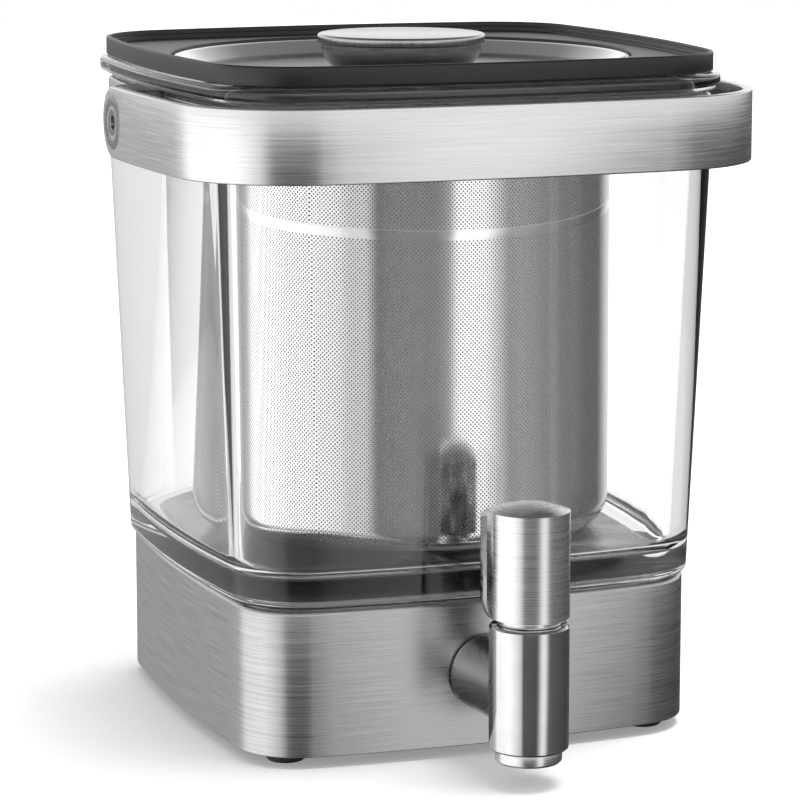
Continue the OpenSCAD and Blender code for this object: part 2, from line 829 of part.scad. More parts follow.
module lever_cover() {
    color(steel) tap_axis() difference() {
        intersection() {
            lever_space();
            upright(lever_low - eps, lever_top + eps) lever_plan();
        }
        intersection() {
            translate([0, 0, lever_top - dome_r]) sphere(dome_r - lever_cover_t);
            union() {
                upright(lever_low - past, lever_top) lever_plan(lever_cover_t);
                difference() {
                    upright(lever_low - past, lever_top) square(5 * tap_r, center = true);
                    cover_zone();
                }
            }
        }
    }
}

module lever_pin() {
    color(steel) along_pin() translate([0, 0, -pin_half]) cylinder(r = pin_r, h = 2 * pin_half);
}

// ---- collar under the lip -------------------------------------------------

module collar_liner() {
    color(soft) translate([0, 0, collar_low + free]) linear_extrude(collar_h - 2 * free)
        bowed_ring(neck_plan, -liner_t, 0);
}

module neck_collar() {
    ear_y = neck_w / 2 + liner_t;
    color(steel) difference() {
        union() {
            difference() {
                translate([0, 0, collar_low]) linear_extrude(collar_h)
                    bowed_ring(neck_plan, -collar_grow, -liner_t);
                translate([-clamp_gap, 0, collar_low - past])
                    cube([2 * clamp_gap, neck_w, collar_h + 2 * past]);
            }
            both_sides() translate([clamp_gap, ear_y, pivot_z - ear_h / 2]) cube([ear_t, ear_reach, ear_h]);
        }
        translate([-past, collar_screw_y, pivot_z]) rotate([0, 90, 0])
            cylinder(r = collar_screw_r, h = 2 * past);
    }
}

module collar_screw() {
    head_x = clamp_gap + ear_t;
    color(steel) translate([0, collar_screw_y, pivot_z]) rotate([0, 90, 0]) difference() {
        union() {
            rod(collar_screw_r, -head_x - eps, head_x + collar_nut_h + 1);
            rod(collar_screw_r + 1, -head_x - collar_head_h, -head_x);
        }
        upright(-head_x - collar_head_h - past, -head_x - collar_head_h + collar_key_h)
            hexagon(collar_screw_r - 0.5);
    }
}

module collar_nut() {
    nut_x = clamp_gap + ear_t;
    color(steel) translate([0, collar_screw_y, pivot_z]) rotate([0, 90, 0]) difference() {
        upright(nut_x, nut_x + collar_nut_h) hexagon(collar_nut_r);
        rod(collar_screw_r, -past, nut_x + 2 * past);
    }
}

lug_front = 12.5;
lug_foot = 4.5;                     // how much further forward the lug reaches at the collar
lug_back = 10.5;
lug_chamfer = 2;

module hinge_lugs() {
    low = collar_low;
    high = lip_low - free;
    color(dark) both_sides() difference() {
        upright(low, high) difference() {
            polygon([[neck_w / 2 - past, -lug_front - lug_foot], [lug_out, -lug_front],
                     [lug_out, lug_back - lug_chamfer], [lug_out - lug_chamfer, lug_back],
                     [neck_w / 2 - past, lug_back]]);
            bowed_square(neck_plan, -collar_grow);
        }
        along_pivot() rod(pivot_thread_r, 0, lug_out + past);
        difference() {
            along_pivot() tube(stop_at + stop_r + free, stop_at - stop_r - free, lug_out - slot_deep,
                lug_out + past);
            translate([0, -band_w / 2, pivot_z - stop_r - free - band_w]) cube([band_w, band_w, band_w]);
        }
    }
}

module pivot_screws() {
    head_out = disc_out - head_sink;
    color(steel) both_sides() along_pivot() difference() {
        union() {
            rod(pivot_head_r, head_out - head_t, head_out);
            rod(shoulder_r, lug_out, head_out - head_t + eps);
            rod(pivot_thread_r, neck_w / 2 + collar_grow + 1, lug_out + eps);
        }
        upright(head_out - 2, head_out + past) hexagon(socket_r);
    }
}

// ---- band handle ----------------------------------------------------------

module handle_band() {
    color(steel) difference() {
        intersection() {
            translate([0, 0, pivot_z - band_h / 2]) linear_extrude(band_h) bowed_ring(band_plan, 0, band_t);
            union() {
                translate([-band_w, -band_w, pivot_z - band_h]) cube([2 * band_w, band_w, 2 * band_h]);
                along_pivot() rod(band_h / 2, -band_w, band_w);
            }
        }
        both_sides() along_pivot() {
            rod(bush_r, band_w / 4, band_w);
            rod(disc_r, disc_x, band_w);
        }
        both_sides() translate([0, -stop_at, 0]) along_pivot() rod(stop_r, band_w / 4, disc_x + eps);
    }
}

module pivot_discs() {
    color(bright) both_sides() along_pivot() difference() {
        union() {
            rod(disc_r, disc_x, disc_out);
            rod(bush_r, bush_in, disc_x + eps);
        }
        rod(shoulder_r + play, bush_in - past, disc_out);
        rod(pivot_head_r + free, disc_out - head_sink - head_t - head_sink, disc_out + past);
    }
}

module stop_pins() {
    color(steel) both_sides() translate([0, -stop_at, 0]) along_pivot()
        rod(stop_r, lug_out - slot_deep + free, disc_x);
}

// ---- jar lid --------------------------------------------------------------

step_h = 1.4;                       // the inner step of the raised edge
step_t = 1.3;

module jar_lid() {
    color(black) difference() {
        union() {
            translate([0, 0, lid_low]) linear_extrude(lid_plate) bowed_square(lid_plan);
            translate([0, 0, lid_low]) linear_extrude(lid_top - lid_low) bowed_ring(lid_plan, 0, lid_edge_t);
            translate([0, 0, lid_low]) linear_extrude(lid_top - step_h - lid_low)
                bowed_ring(lid_plan, 0, lid_edge_t + step_t);
            translate([0, 0, skirt_low]) linear_extrude(lid_low + eps - skirt_low)
                bowed_ring(mouth_plan, skirt_inset, skirt_inset + skirt_t);
            rod(mouth_r + mouth_wall, ledge_top - ledge_t, lid_low + eps);
        }
        rod(mouth_r, ledge_top, lid_top + past);
        rod(ledge_r, ledge_top - ledge_t - past, lid_top + past);
        translate([0, 0, seal_low]) linear_extrude(seal_h)
            bowed_ring(mouth_plan, skirt_inset - past, skirt_inset + seal_deep);
    }
}

module lid_seal() {
    color(soft) translate([0, 0, seal_low]) linear_extrude(seal_h)
        bowed_ring(mouth_plan, skirt_inset - seal_out, skirt_inset + seal_deep);
}

// ---- steeper --------------------------------------------------------------

ring_h = 2.7;                       // smooth ring at the fill line
ring_proud = 0.1;

// The steeper's mouth widens on a cone. These give the radius at a height, and the height at a
// radius, on the cone moved inwards by off.
function flare_r(z, off) = steeper_r - steeper_t + (z - flare_low) / tan(flare_turn) - off / sin(flare_turn);
function flare_z(r, off) = flare_low + (r - steeper_r + steeper_t) * tan(flare_turn) + off / cos(flare_turn);

module steeper_wall() {
    ring_low = bottom_z + fill_line - ring_h;
    color(bright) {
        tube(steeper_r, steeper_r - steeper_t, bottom_join, flare_low);
        tube(steeper_r + ring_proud, steeper_r - steeper_t, ring_low, ring_low + ring_h);
    }
}

module steeper_bottom() {
    inner_r = steeper_r - steeper_t;
    color(bright) rotate_extrude() difference() {
        cup_section(steeper_r, steeper_edge, bottom_z, bottom_join);
        cup_section(inner_r, steeper_edge - steeper_t, bottom_z + steeper_t, bottom_join + past);
    }
}

// A sleeve round the wall, a cone that widens the mouth, and a flat rim that hangs in the lid.
module steeper_rim() {
    sleeve_r = steeper_r + sleeve_t;
    color(bright) rotate_extrude() polygon([
        [steeper_r, rim_low - sleeve_h], [sleeve_r, rim_low - sleeve_h],
        [sleeve_r, flare_z(sleeve_r, -flare_t)], [flare_r(rim_low, -flare_t), rim_low],
        [rim_r, rim_low], [rim_r, rim_low + rim_t], [flare_r(rim_low + rim_t, 0), rim_low + rim_t],
        [steeper_r - steeper_t, flare_low], [steeper_r, flare_low]]);
}

// ---- steeper lid and knob -------------------------------------------------

dish_round = 0.9;                   // how far the dish's bends reach to each side

// The dish's sloping side lies in the widened mouth of the steeper, with its rim on the steeper's.
module steeper_lid() {
    inner = free + dish_t;
    side_low = flare_r(dish_floor, inner);
    side_high = flare_r(dish_top, inner);
    color(steel) difference() {
        rotate_extrude() polygon([
            [0, dish_floor], [side_low - dish_round, dish_floor], [side_low, dish_floor + dish_round / 8],
            [side_low + dish_round / 2, flare_z(side_low + dish_round / 2, inner)],
            [side_high - dish_round / 2, flare_z(side_high - dish_round / 2, inner)],
            [side_high, dish_top - dish_round / 8], [side_high + dish_round, dish_top],
            [rim_r - free, dish_top], [rim_r, dish_top - free], [rim_r, dish_flange_low],
            [flare_r(dish_flange_low, free), dish_flange_low],
            [flare_r(dish_floor - dish_t, free), dish_floor - dish_t], [0, dish_floor - dish_t]]);
        rod(knob_screw_r, dish_floor - dish_t - past, dish_floor + past);
    }
}

cup_steps = 8;
cup_side = [for (i = [0:cup_steps]) let (s = i / cup_steps)
    [knob_foot_r + (knob_r - 0.8 - knob_foot_r) * sin(90 * s), dish_floor + knob_cup_h * s]];

module knob_cup() {
    color(steel) difference() {
        rotate_extrude() polygon(concat([[0, dish_floor]], cup_side, [[0, cap_low]]));
        tube(knob_foot_r - knob_wall, 2.5 * knob_screw_r, dish_floor + knob_wall, cap_low + past);
        rod(knob_screw_r, dish_floor - past, cap_low - 1);
    }
}

module knob_cap() {
    edge = 0.5;
    color(bright) rotate_extrude() polygon([
        [0, cap_low], [knob_r - edge, cap_low], [knob_r, cap_low + edge], [knob_r, cap_top - 2 * edge],
        [knob_r - 2 * edge, cap_top], [0, cap_top]]);
}

module knob_screw() {
    under = dish_floor - dish_t;
    color(steel) difference() {
        union() {
            rod(knob_screw_r, under - eps, cap_low - 1.5);
            rod(2 * knob_screw_r, under - knob_head_h, under);
        }
        for (turn = [0, 90]) rotate(turn)
            translate([-knob_screw_r, -knob_cross_w / 2, under - knob_head_h - past])
                cube([2 * knob_screw_r, knob_cross_w, past + knob_cross_w]);
    }
}

base_shell();
base_frame();
bottom_cover();
bottom_screws();
feet();
jar_seat();
glass_jar();
drain_fitting();
drain_gaskets();
drain_nut();
outlet_hose();
hose_clamps();
tap_shank();
tap_washer();
shank_washer();
shank_nut();
tap_body();
nozzle_ring();
tap_bonnet();
stem_seal();
valve_stem();
seat_cup();
valve_spring();
tap_lever();
lever_cover();
lever_pin();
collar_liner();
neck_collar();
collar_screw();
collar_nut();
hinge_lugs();
pivot_screws();
handle_band();
pivot_discs();
stop_pins();
jar_lid();
lid_seal();
steeper_wall();
steeper_bottom();
steeper_rim();
steeper_lid();
knob_cup();
knob_cap();
knob_screw();
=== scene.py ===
# %% [markdown]
# # A cold brew coffee maker, dressed for its portrait
# A finished CAD model brings every part of this coffee maker at its real size and place. This
# lesson gives those parts their looks in Blender: rounder edges, brushed and polished steel,
# moulded plastic and clear glass. Each step says what the piece is on the real object, how it
# could be made, and why this way was chosen.

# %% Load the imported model
import math
import bpy
import bmesh
from mathutils import Matrix, Vector


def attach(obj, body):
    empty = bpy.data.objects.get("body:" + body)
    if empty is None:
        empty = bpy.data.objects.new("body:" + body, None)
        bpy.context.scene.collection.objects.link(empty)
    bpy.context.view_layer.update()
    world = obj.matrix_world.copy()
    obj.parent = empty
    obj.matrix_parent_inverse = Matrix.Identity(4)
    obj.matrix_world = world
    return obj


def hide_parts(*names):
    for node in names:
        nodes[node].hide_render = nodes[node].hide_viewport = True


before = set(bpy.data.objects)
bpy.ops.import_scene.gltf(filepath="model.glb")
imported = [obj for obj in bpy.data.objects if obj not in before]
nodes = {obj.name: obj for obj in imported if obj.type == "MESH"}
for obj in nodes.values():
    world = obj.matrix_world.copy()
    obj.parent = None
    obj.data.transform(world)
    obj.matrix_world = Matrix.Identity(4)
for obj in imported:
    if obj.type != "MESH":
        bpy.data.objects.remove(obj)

scene = bpy.context.scene
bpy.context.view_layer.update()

# %% [markdown]
# ## The camera
# The photograph was taken from a little left of the front and a little above, with a long lens.
# Its place was fitted to edges that are easy to see: the lower and upper edge of the base, the
# band, the lid and the knob.

# %% Camera
CAMERA_PLACE = (-0.3663, -0.9957, 0.2830)
LOOKS_DOWN, LOOKS_RIGHT, LENS = 10.116, 20.177, 156.97
camera_data = bpy.data.cameras.new("portrait_camera")
camera_data.sensor_width = 36
camera_data.lens = LENS
camera = bpy.data.objects.new("portrait_camera", camera_data)
camera.location = CAMERA_PLACE
camera.rotation_euler = (math.radians(90 - LOOKS_DOWN), 0, math.radians(-LOOKS_RIGHT))
scene.collection.objects.link(camera)
scene.camera = camera
scene.view_settings.view_transform = "Standard"
print("camera", round(camera.location.length, 3), "m from the table's middle, lens", camera_data.lens)

# %% [markdown]
# ## Four small helpers for nodes
# Every material here is a tree of nodes. One function adds a node with its settings and links,
# and one turns an sRGB hex code, as a colour picker shows it, into the linear colour that
# Blender calculates with. Arithmetic and mixes of two colours come up so often that each gets a
# short name.

# %% Helpers for nodes and colours
def colour(code):
    """An sRGB hex code as linear red, green, blue and alpha."""
    parts = [int(code[i:i + 2], 16) / 255 for i in (1, 3, 5)]
    return [p / 12.92 if p <= 0.04045 else ((p + 0.055) / 1.055) ** 2.4 for p in parts] + [1]


def add_node(tree, kind, inputs=None, **settings):
    """Adds a node. A value in inputs is linked if it is a socket, and set if it is a number."""
    node = tree.nodes.new("ShaderNode" + kind)
    for key, value in settings.items():
        setattr(node, key, value)
    for key, value in (inputs or {}).items():
        if isinstance(value, bpy.types.NodeSocket):
            tree.links.new(value, node.inputs[key])
        else:
            node.inputs[key].default_value = value
    return node


def math_node(tree, operation, *values):
    """One step of arithmetic on sockets or numbers."""
    return add_node(tree, "Math", dict(enumerate(values)), operation=operation).outputs[0]


def mix(tree, amount, one, other):
    """The first colour where amount is 0, the second where it is 1."""
    return add_node(tree, "Mix", {0: amount, 6: one, 7: other}, data_type="RGBA").outputs[2]


print("mid grey is", [round(v, 3) for v in colour("#808080")])

# %% [markdown]
# ## The studio
# Metal and glass look like what they reflect. The photograph's upright steel shows tall white
# soft boxes with dark gaps between them, which run straight up and down. So mirrors see a ring
# of upright light and dark bands below the horizon, and above it a soft bright ceiling that
# fades upwards. What the steeper mirrors crosses the jar's glass, and gets a ring of its own
# with light behind the object, where the clear walls mirror too. Brushed steel blurs up and down,
# and so takes a haze from the ceiling into its dark bands, which polished steel doesn't. Matte
# surfaces get an even light, and the camera sees plain white, also through the glass.

# %% World
# Bands are (degrees to the right of the camera, level), and heights (degrees up, level).
BANDS = [
    (-180, 0.14), (-160, 0.44), (-128, 0.58), (-118, 0.8), (-107, 1.5), (-60, 1.75), (-40, 1.35),
    (-25, 0.9), (-18, 0.16), (19, 0.12), (23, 0.25), (27, 0.5), (31, 0.85), (35, 1.15), (39, 1.3),
    (45, 1.22), (49, 0.95), (54, 0.42), (60, 0.18), (76, 0.14), (130, 0.08), (180, 0.14)]
JAR_BANDS = [
    (-180, 1.2), (-155, 0.65), (-143, 0.4), (-125, 0.26), (-112, 0.6), (-100, 1.9), (-78, 1.85),
    (-63, 1.6), (-45, 1.4), (-34, 1.15), (-27, 0.88), (-20, 0.85), (-14, 0.06), (0, 0.12), (19, 0.16),
    (26, 0.35), (30, 1.35), (34, 1.5), (46, 1.45), (54, 0.8), (61, 0.3), (86, 0.2), (106, 0.1),
    (118, 0.04), (140, 0.04), (158, 1.0), (180, 1.2)]
CEILING = [(0, 1.25), (14, 1.15), (26, 0.6), (42, 0.22), (90, 0.12)]
BELOW = [(-90, 0.3), (-50, 0.35), (-24, 1.0), (0, 1.0)]
CEILING_STARTS, CEILING_FULL = -1.0, 3.0
STUDIO_TURN = 20.2
INSIDE_GLASS = 0.8
WHITE, EVEN_LIGHT = (1, 1, 1, 1), (0.5, 0.5, 0.5, 1)
# A ray counts the mirrors and the glass surfaces on its way, so a limit lies between two counts.
ONE_MIRROR, TWO_MIRRORS = 0.5, 1.5
ANY_GLASS, PAST_WALL = 0.5, 2.5
world = bpy.data.worlds.new("studio")
scene.world = world
world.use_nodes = True
tree = world.node_tree
tree.nodes.clear()


def level_ramp(value, stops):
    """A grey ramp from the first stop's position to the last one's."""
    low, high = stops[0][0], stops[-1][0]
    part = add_node(tree, "MapRange", {"Value": value, "From Min": low, "From Max": high}).outputs[0]
    ramp = add_node(tree, "ValToRGB", {0: part})
    for position, level in stops[1:-1]:
        ramp.color_ramp.elements.new((position - low) / (high - low)).color = (level, level, level, 1)
    for end, (_, level) in ((0, stops[0]), (-1, stops[-1])):
        ramp.color_ramp.elements[end].color = (level, level, level, 1)
    return ramp.outputs[0]


seen = add_node(tree, "TexCoord").outputs["Generated"]
heading = (0, 0, math.radians(STUDIO_TURN))
faced = add_node(tree, "Mapping", {"Vector": seen, "Rotation": heading}).outputs[0]
axes = add_node(tree, "SeparateXYZ", {0: faced}).outputs
azimuth = math_node(tree, "ARCTAN2", axes[0], math_node(tree, "MULTIPLY", axes[1], -1.0))
azimuth = math_node(tree, "MULTIPLY", azimuth, 180 / math.pi)
height = math_node(tree, "MULTIPLY", math_node(tree, "ARCSINE", axes[2]), 180 / math.pi)
# A mirror image inside the glass wall crosses glass twice, one in the steeper four times.
path = add_node(tree, "LightPath").outputs
through = path["Transmission Depth"]
in_jar = math_node(tree, "GREATER_THAN", through, PAST_WALL)
bands = mix(tree, in_jar, level_ramp(azimuth, BANDS), level_ramp(azimuth, JAR_BANDS))
walls = add_node(tree, "Mix", {0: 1.0, 6: bands, 7: level_ramp(height, BELOW)},
                 data_type="RGBA", blend_type="MULTIPLY").outputs[2]
up = add_node(tree, "MapRange", {"Value": height, "From Min": CEILING_STARTS,
                                 "From Max": CEILING_FULL}).outputs[0]
studio = mix(tree, up, walls, level_ramp(height, CEILING))
inside = math_node(tree, "SUBTRACT", math_node(tree, "GREATER_THAN", through, ANY_GLASS), in_jar)
studio = mix(tree, math_node(tree, "MULTIPLY", inside, INSIDE_GLASS), studio, WHITE)
plain = mix(tree, path["Is Diffuse Ray"], WHITE, EVEN_LIGHT)
mirrored = math_node(tree, "GREATER_THAN", path["Glossy Depth"], ONE_MIRROR)
light = mix(tree, mirrored, plain, studio)
background = add_node(tree, "Background", {"Color": light, "Strength": 1.0})
tree.links.new(background.outputs[0], add_node(tree, "OutputWorld").inputs["Surface"])
print("world bands:", len(BANDS), "ceiling steps:", len(CEILING))

# %% [markdown]
# ## Floor and lamp
# One sun lamp with a wide angle stands nearly overhead, a little to the right. It lights the
# whole floor evenly and gives the soft shadow that reaches out to the left. The floor is matte
# and pale. For the camera it glows a little as well, so that the lit floor is white like the
# background and the shadow stays grey. Mirrors don't see the floor or the lamp, because the
# bands should run down to the lowest edges.

# %% Floor
FLOOR_REACH, FLOOR_GLOW = 3, 0.26
bm = bmesh.new()
bmesh.ops.create_grid(bm, x_segments=2, y_segments=2, size=FLOOR_REACH)
floor_mesh = bpy.data.meshes.new("floor")
bm.to_mesh(floor_mesh)
bm.free()
floor = bpy.data.objects.new("floor", floor_mesh)
scene.collection.objects.link(floor)
floor.visible_glossy = False
floor_paint = bpy.data.materials.new("matte_white_paper")
floor_paint.use_nodes = True
tree = floor_paint.node_tree
tree.nodes.clear()
path = add_node(tree, "LightPath").outputs
matte = add_node(tree, "BsdfDiffuse", {"Color": colour("#fafafa")}).outputs[0]
glow = add_node(tree, "Emission", {"Color": WHITE, "Strength": FLOOR_GLOW}).outputs[0]
lit = add_node(tree, "AddShader", {0: matte, 1: glow}).outputs[0]
straight = math_node(tree, "MAXIMUM", path["Is Camera Ray"], path["Is Transmission Ray"])
surface = add_node(tree, "MixShader", {0: straight, 1: matte, 2: lit}).outputs[0]
mirrored = math_node(tree, "GREATER_THAN", path["Glossy Depth"], ONE_MIRROR)
hidden = add_node(tree, "BsdfTransparent").outputs[0]
surface = add_node(tree, "MixShader", {0: mirrored, 1: surface, 2: hidden}).outputs[0]
tree.links.new(surface, add_node(tree, "OutputMaterial").inputs["Surface"])
floor_mesh.materials.append(floor_paint)
print("floor:", 2 * FLOOR_REACH, "m wide")

# %% Lamp
LAMP_WIDTH, LAMP_LEVEL, LAMP_AIM = 30, 2.2, (-0.24, 0.02, -1.25)
key_data = bpy.data.lights.new("key_lamp", "SUN")
key_data.angle = math.radians(LAMP_WIDTH)
key_data.energy = LAMP_LEVEL
key = bpy.data.objects.new("key_lamp", key_data)
key.rotation_euler = Vector(LAMP_AIM).to_track_quat("-Z", "Y").to_euler()
key.visible_glossy = False
scene.collection.objects.link(key)
print("lamp:", key.name, key_data.energy)

# %% [markdown]
# ## Making shapes
# Most parts that show are one of two kinds. The jar, base, lid, collar and band follow a square
# with bowed sides and round corners, so a loop is extruded from level to level. The steeper, dish
# and knob are round, so half a section is spun. In both kinds the edges are rounded by a bevel.
# The other parts already have the right shape in CAD.
#
# A loop is a single point, spun round the centres of its arcs: a flat arc for each side and a
# tight one for each corner. An inset shortens every radius by the same amount, so a wall keeps
# its thickness all round.

# %% Loops
MM = 0.001
SIDE_STEPS = 18
CORNER_STEPS = 10
# A circle spaces its points as this square does, so that both kinds of loop pair up.
CIRCLE_SPACING = (150, 480, 24)


def loop_points(shape, inset, z):
    """A loop at height z, inset mm inside a shape: (width, bow, corner), or a circle's radius."""
    width, bow, corner = shape if isinstance(shape, tuple) else CIRCLE_SPACING
    # The first side's centre is (off, 0). The corner's is (at, at), where its arc runs on smoothly.
    off = width / 2 - bow
    at = (off + math.sqrt(2 * (bow - corner) ** 2 - off ** 2)) / 2
    turn = math.atan2(at, at - off)
    loop = bmesh.new()
    vert = loop.verts.new((off + (bow - inset) * math.cos(turn), -(bow - inset) * math.sin(turn), z))
    for quarter in range(4):
        to_side = Matrix.Rotation(quarter * math.pi / 2, 3, "Z")
        for centre, angle, steps in ((Vector((off, 0, z)), 2 * turn, SIDE_STEPS),
                                     (Vector((at, at, z)), math.pi / 2 - 2 * turn, CORNER_STEPS)):
            spun = bmesh.ops.spin(loop, geom=[vert], cent=to_side @ centre, axis=(0, 0, 1),
                                  angle=angle, steps=steps)
            vert = spun["geom_last"][0]
    points = [v.co.copy() for v in loop.verts][:-1]
    loop.free()
    if not isinstance(shape, tuple):
        points = [Vector((*(p.xy.normalized() * (shape - inset)), z)) for p in points]
    return [p * MM for p in points]


print("a loop has", len(loop_points(CIRCLE_SPACING, 0, 0)), "points")

# %% [markdown]
# A stack is one closed skin, so it goes up the outside and down the inside of a wall. Its bends
# are found before the first bevel, because a bevel makes new edges.

# %% Bevels, stacks and spins
def round_edges(bm, edges, radius, segments=4):
    """Bevels edges to a round of that radius in mm."""
    ends = {v for e in edges for v in e.verts}
    bmesh.ops.bevel(bm, geom=list(edges) + list(ends), offset=radius * MM, offset_type="OFFSET",
                    segments=segments, profile=0.5, affect="EDGES", material=-1, clamp_overlap=True)


def sharp_edges(bm, angle):
    """Edges where two faces meet at more than angle degrees."""
    return [e for e in bm.edges if len(e.link_faces) == 2 and e.calc_face_angle() > math.radians(angle)]


def stack(bm, levels):
    """Extrudes a loop from level to level and back. A level is (shape, inset, z, round) in mm."""
    rings = [loop_points(*level[:3]) for level in levels]
    loop = [bm.verts.new(p) for p in rings[0]]
    edges = [bm.edges.new((loop[i - 1], loop[i])) for i in range(len(loop))]
    for ring in rings[1:] + [rings[0]]:
        made = bmesh.ops.extrude_edge_only(bm, edges=edges)["geom"]
        edges = [g for g in made if isinstance(g, bmesh.types.BMEdge)]
        fresh = {g for g in made if isinstance(g, bmesh.types.BMVert)}
        loop = [next(e.other_vert(v) for e in v.link_edges if e.other_vert(v) in fresh) for v in loop]
        for vert, point in zip(loop, ring):
            vert.co = point
    bmesh.ops.remove_doubles(bm, verts=bm.verts, dist=1e-6)
    bends = []
    for ring, level in zip(rings, levels):
        on_ring = {tuple(p) for p in ring}
        bends.append([e for e in bm.edges if level[3] and all(tuple(v.co) in on_ring for v in e.verts)])
    for bend, level in zip(bends, levels):
        if bend:
            round_edges(bm, bend, level[3])


def turn_round(bm, points, steps, closed=True):
    """Spins half a section round Z. A point is (radius, height, round), all in mm."""
    verts = [bm.verts.new((r * MM, 0, h * MM)) for r, h, _ in points]
    chain = list(zip(verts, verts[1:])) + ([(verts[-1], verts[0])] if closed else [])
    for one, other in chain:
        bm.edges.new((one, other))
    for vert, point in zip(verts, points):
        if point[2]:
            bmesh.ops.bevel(bm, geom=[vert], offset=point[2] * MM, offset_type="OFFSET", segments=5,
                            profile=0.5, affect="VERTICES", material=-1)
    bmesh.ops.spin(bm, geom=bm.verts[:] + bm.edges[:], cent=(0, 0, 0), axis=(0, 0, 1),
                   angle=2 * math.pi, steps=steps, use_merge=True)


def add_box(bm, size, centre):
    """Adds a box of that size round a centre, both in mm, and gives back its corners."""
    corners = bmesh.ops.create_cube(bm, size=MM)["verts"]
    bmesh.ops.scale(bm, verts=corners, vec=size)
    bmesh.ops.translate(bm, verts=corners, vec=Vector(centre) * MM)
    return corners


# %% [markdown]
# A finished mesh becomes a piece: doubles at seams and poles are merged, the faces are turned
# outwards, smooth shading stops at sharp edges, and the piece rides on its CAD body in place of
# its CAD node.

# %% From mesh to piece
ROOT = "jar_and_base"


def to_piece(bm, node, body, sharp=35):
    """Makes the piece that stands for a CAD node. Edges over sharp degrees stay sharp."""
    bmesh.ops.remove_doubles(bm, verts=bm.verts, dist=2e-6)
    bmesh.ops.recalc_face_normals(bm, faces=bm.faces)
    if bm.calc_volume(signed=True) < 0:
        bmesh.ops.reverse_faces(bm, faces=bm.faces)
    open_edges = sum(len(e.link_faces) != 2 for e in bm.edges)
    volume = bm.calc_volume() * 1e9
    mesh = bpy.data.meshes.new(node + ".dressed")
    bm.to_mesh(mesh)
    bm.free()
    mesh.shade_smooth()
    mesh.set_sharp_from_angle(angle=math.radians(sharp))
    piece = bpy.data.objects.new(node + ".dressed", mesh)
    scene.collection.objects.link(piece)
    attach(piece, body)
    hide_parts(node)
    print(piece.name, len(mesh.polygons), "faces,", round(volume), "mm3,", open_edges, "open edges")


def cad_copy(node, radius):
    """A merged copy of a CAD mesh, with its sharp edges rounded if radius isn't 0."""
    bm = bmesh.new()
    bm.from_mesh(nodes[node].data)
    bmesh.ops.remove_doubles(bm, verts=bm.verts, dist=1e-6)
    if radius:
        bmesh.ops.dissolve_limit(bm, angle_limit=math.radians(0.5), verts=bm.verts, edges=bm.edges)
        round_edges(bm, sharp_edges(bm, 30), radius, 2)
    return bm


def cut_away(bm, cutter):
    """Takes one closed mesh away from another."""
    pair = []
    for part in (bm, cutter):
        mesh = bpy.data.meshes.new("part")
        bmesh.ops.recalc_face_normals(part, faces=part.faces)
        part.to_mesh(mesh)
        part.free()
        pair.append(bpy.data.objects.new("part", mesh))
        scene.collection.objects.link(pair[-1])
    body, tool = pair
    take = body.modifiers.new("cut", "BOOLEAN")
    take.operation, take.solver, take.object = "DIFFERENCE", "EXACT", tool
    result = bmesh.new()
    result.from_object(body, bpy.context.evaluated_depsgraph_get())
    for part in pair:
        bpy.data.meshes.remove(part.data)
    return result


# %% [markdown]
# ## The glass jar
# The jar is pressed glass, 5 mm thick, on a thick bottom with a recess under it. The loop goes
# up the outside, over the lip and down the inside to the floor, and through the hole for the
# drain back to the recess. Each bend gets its own round.

# %% Glass jar
JAR_LOW, JAR_TOP, FLOOR_Z, WALL = 47.4, 198.0, 55.0, 5
JAR_WIDTH, JAR_SPREAD, BOW, CORNER = 150, 11, 480, 24
RECESS_IN, RECESS_Z = 9, 49.1
SHOULDER_Z, NECK_LOW, NECK_TOP, LIP_LOW = 172.6, 173.6, 193.1, 193.3
DRAIN_R, DRAIN_SEAT_R, DRAIN_SEAT_Z = 6.4, 11.4, 52.4
NECK, LIP, MOUTH = (157, BOW, CORNER), (164, BOW, CORNER + 1), (161, BOW, CORNER)


def jar_shape(z):
    """The sloping jar's outline at height z."""
    return (JAR_WIDTH + JAR_SPREAD * (z - JAR_LOW) / (JAR_TOP - JAR_LOW), BOW, CORNER)


heel = jar_shape(JAR_LOW)
bm = bmesh.new()
stack(bm, [
    (heel, RECESS_IN, RECESS_Z, 0.8), (heel, RECESS_IN, JAR_LOW, 0.6), (heel, 0, JAR_LOW, 2),
    (jar_shape(SHOULDER_Z), 0, SHOULDER_Z, 0.8), (NECK, 0, NECK_LOW, 0.8), (NECK, 0, NECK_TOP, 0.5),
    (LIP, 0, LIP_LOW, 1.4), (LIP, 0, JAR_TOP, 1.6), (MOUTH, WALL, JAR_TOP, 1.6),
    (jar_shape(FLOOR_Z), WALL, FLOOR_Z, 6), (DRAIN_SEAT_R, 0, FLOOR_Z, 0),
    (DRAIN_SEAT_R, 0, DRAIN_SEAT_Z, 0), (DRAIN_R, 0, DRAIN_SEAT_Z, 0), (DRAIN_R, 0, RECESS_Z, 0)])
to_piece(bm, "glass_jar", ROOT, sharp=60)

# %% [markdown]
# ## The base
# The base is drawn from one steel sheet 1.2 mm thick, so its upper edge is round and its lower
# edge is a trimmed rim. The sheet's inner side is part of the same closed stack, and so is the
# hole in the deck for the drain.

# %% Base
BASE, BASE_LOW, DECK_Z = (146, 520, 19.3), 3.4, 47.1
BASE_SHEET, DECK_HOLE_R = 1.2, 6.3
UNDER_DECK = DECK_Z - BASE_SHEET
bm = bmesh.new()
stack(bm, [
    (BASE, 0, BASE_LOW, 0.3), (BASE, 0, DECK_Z, 1.6), (DECK_HOLE_R, 0, DECK_Z, 0),
    (DECK_HOLE_R, 0, UNDER_DECK, 0), (BASE, BASE_SHEET, UNDER_DECK, 0),
    (BASE, BASE_SHEET, BASE_LOW, 0.3)])
to_piece(bm, "base_shell", ROOT)

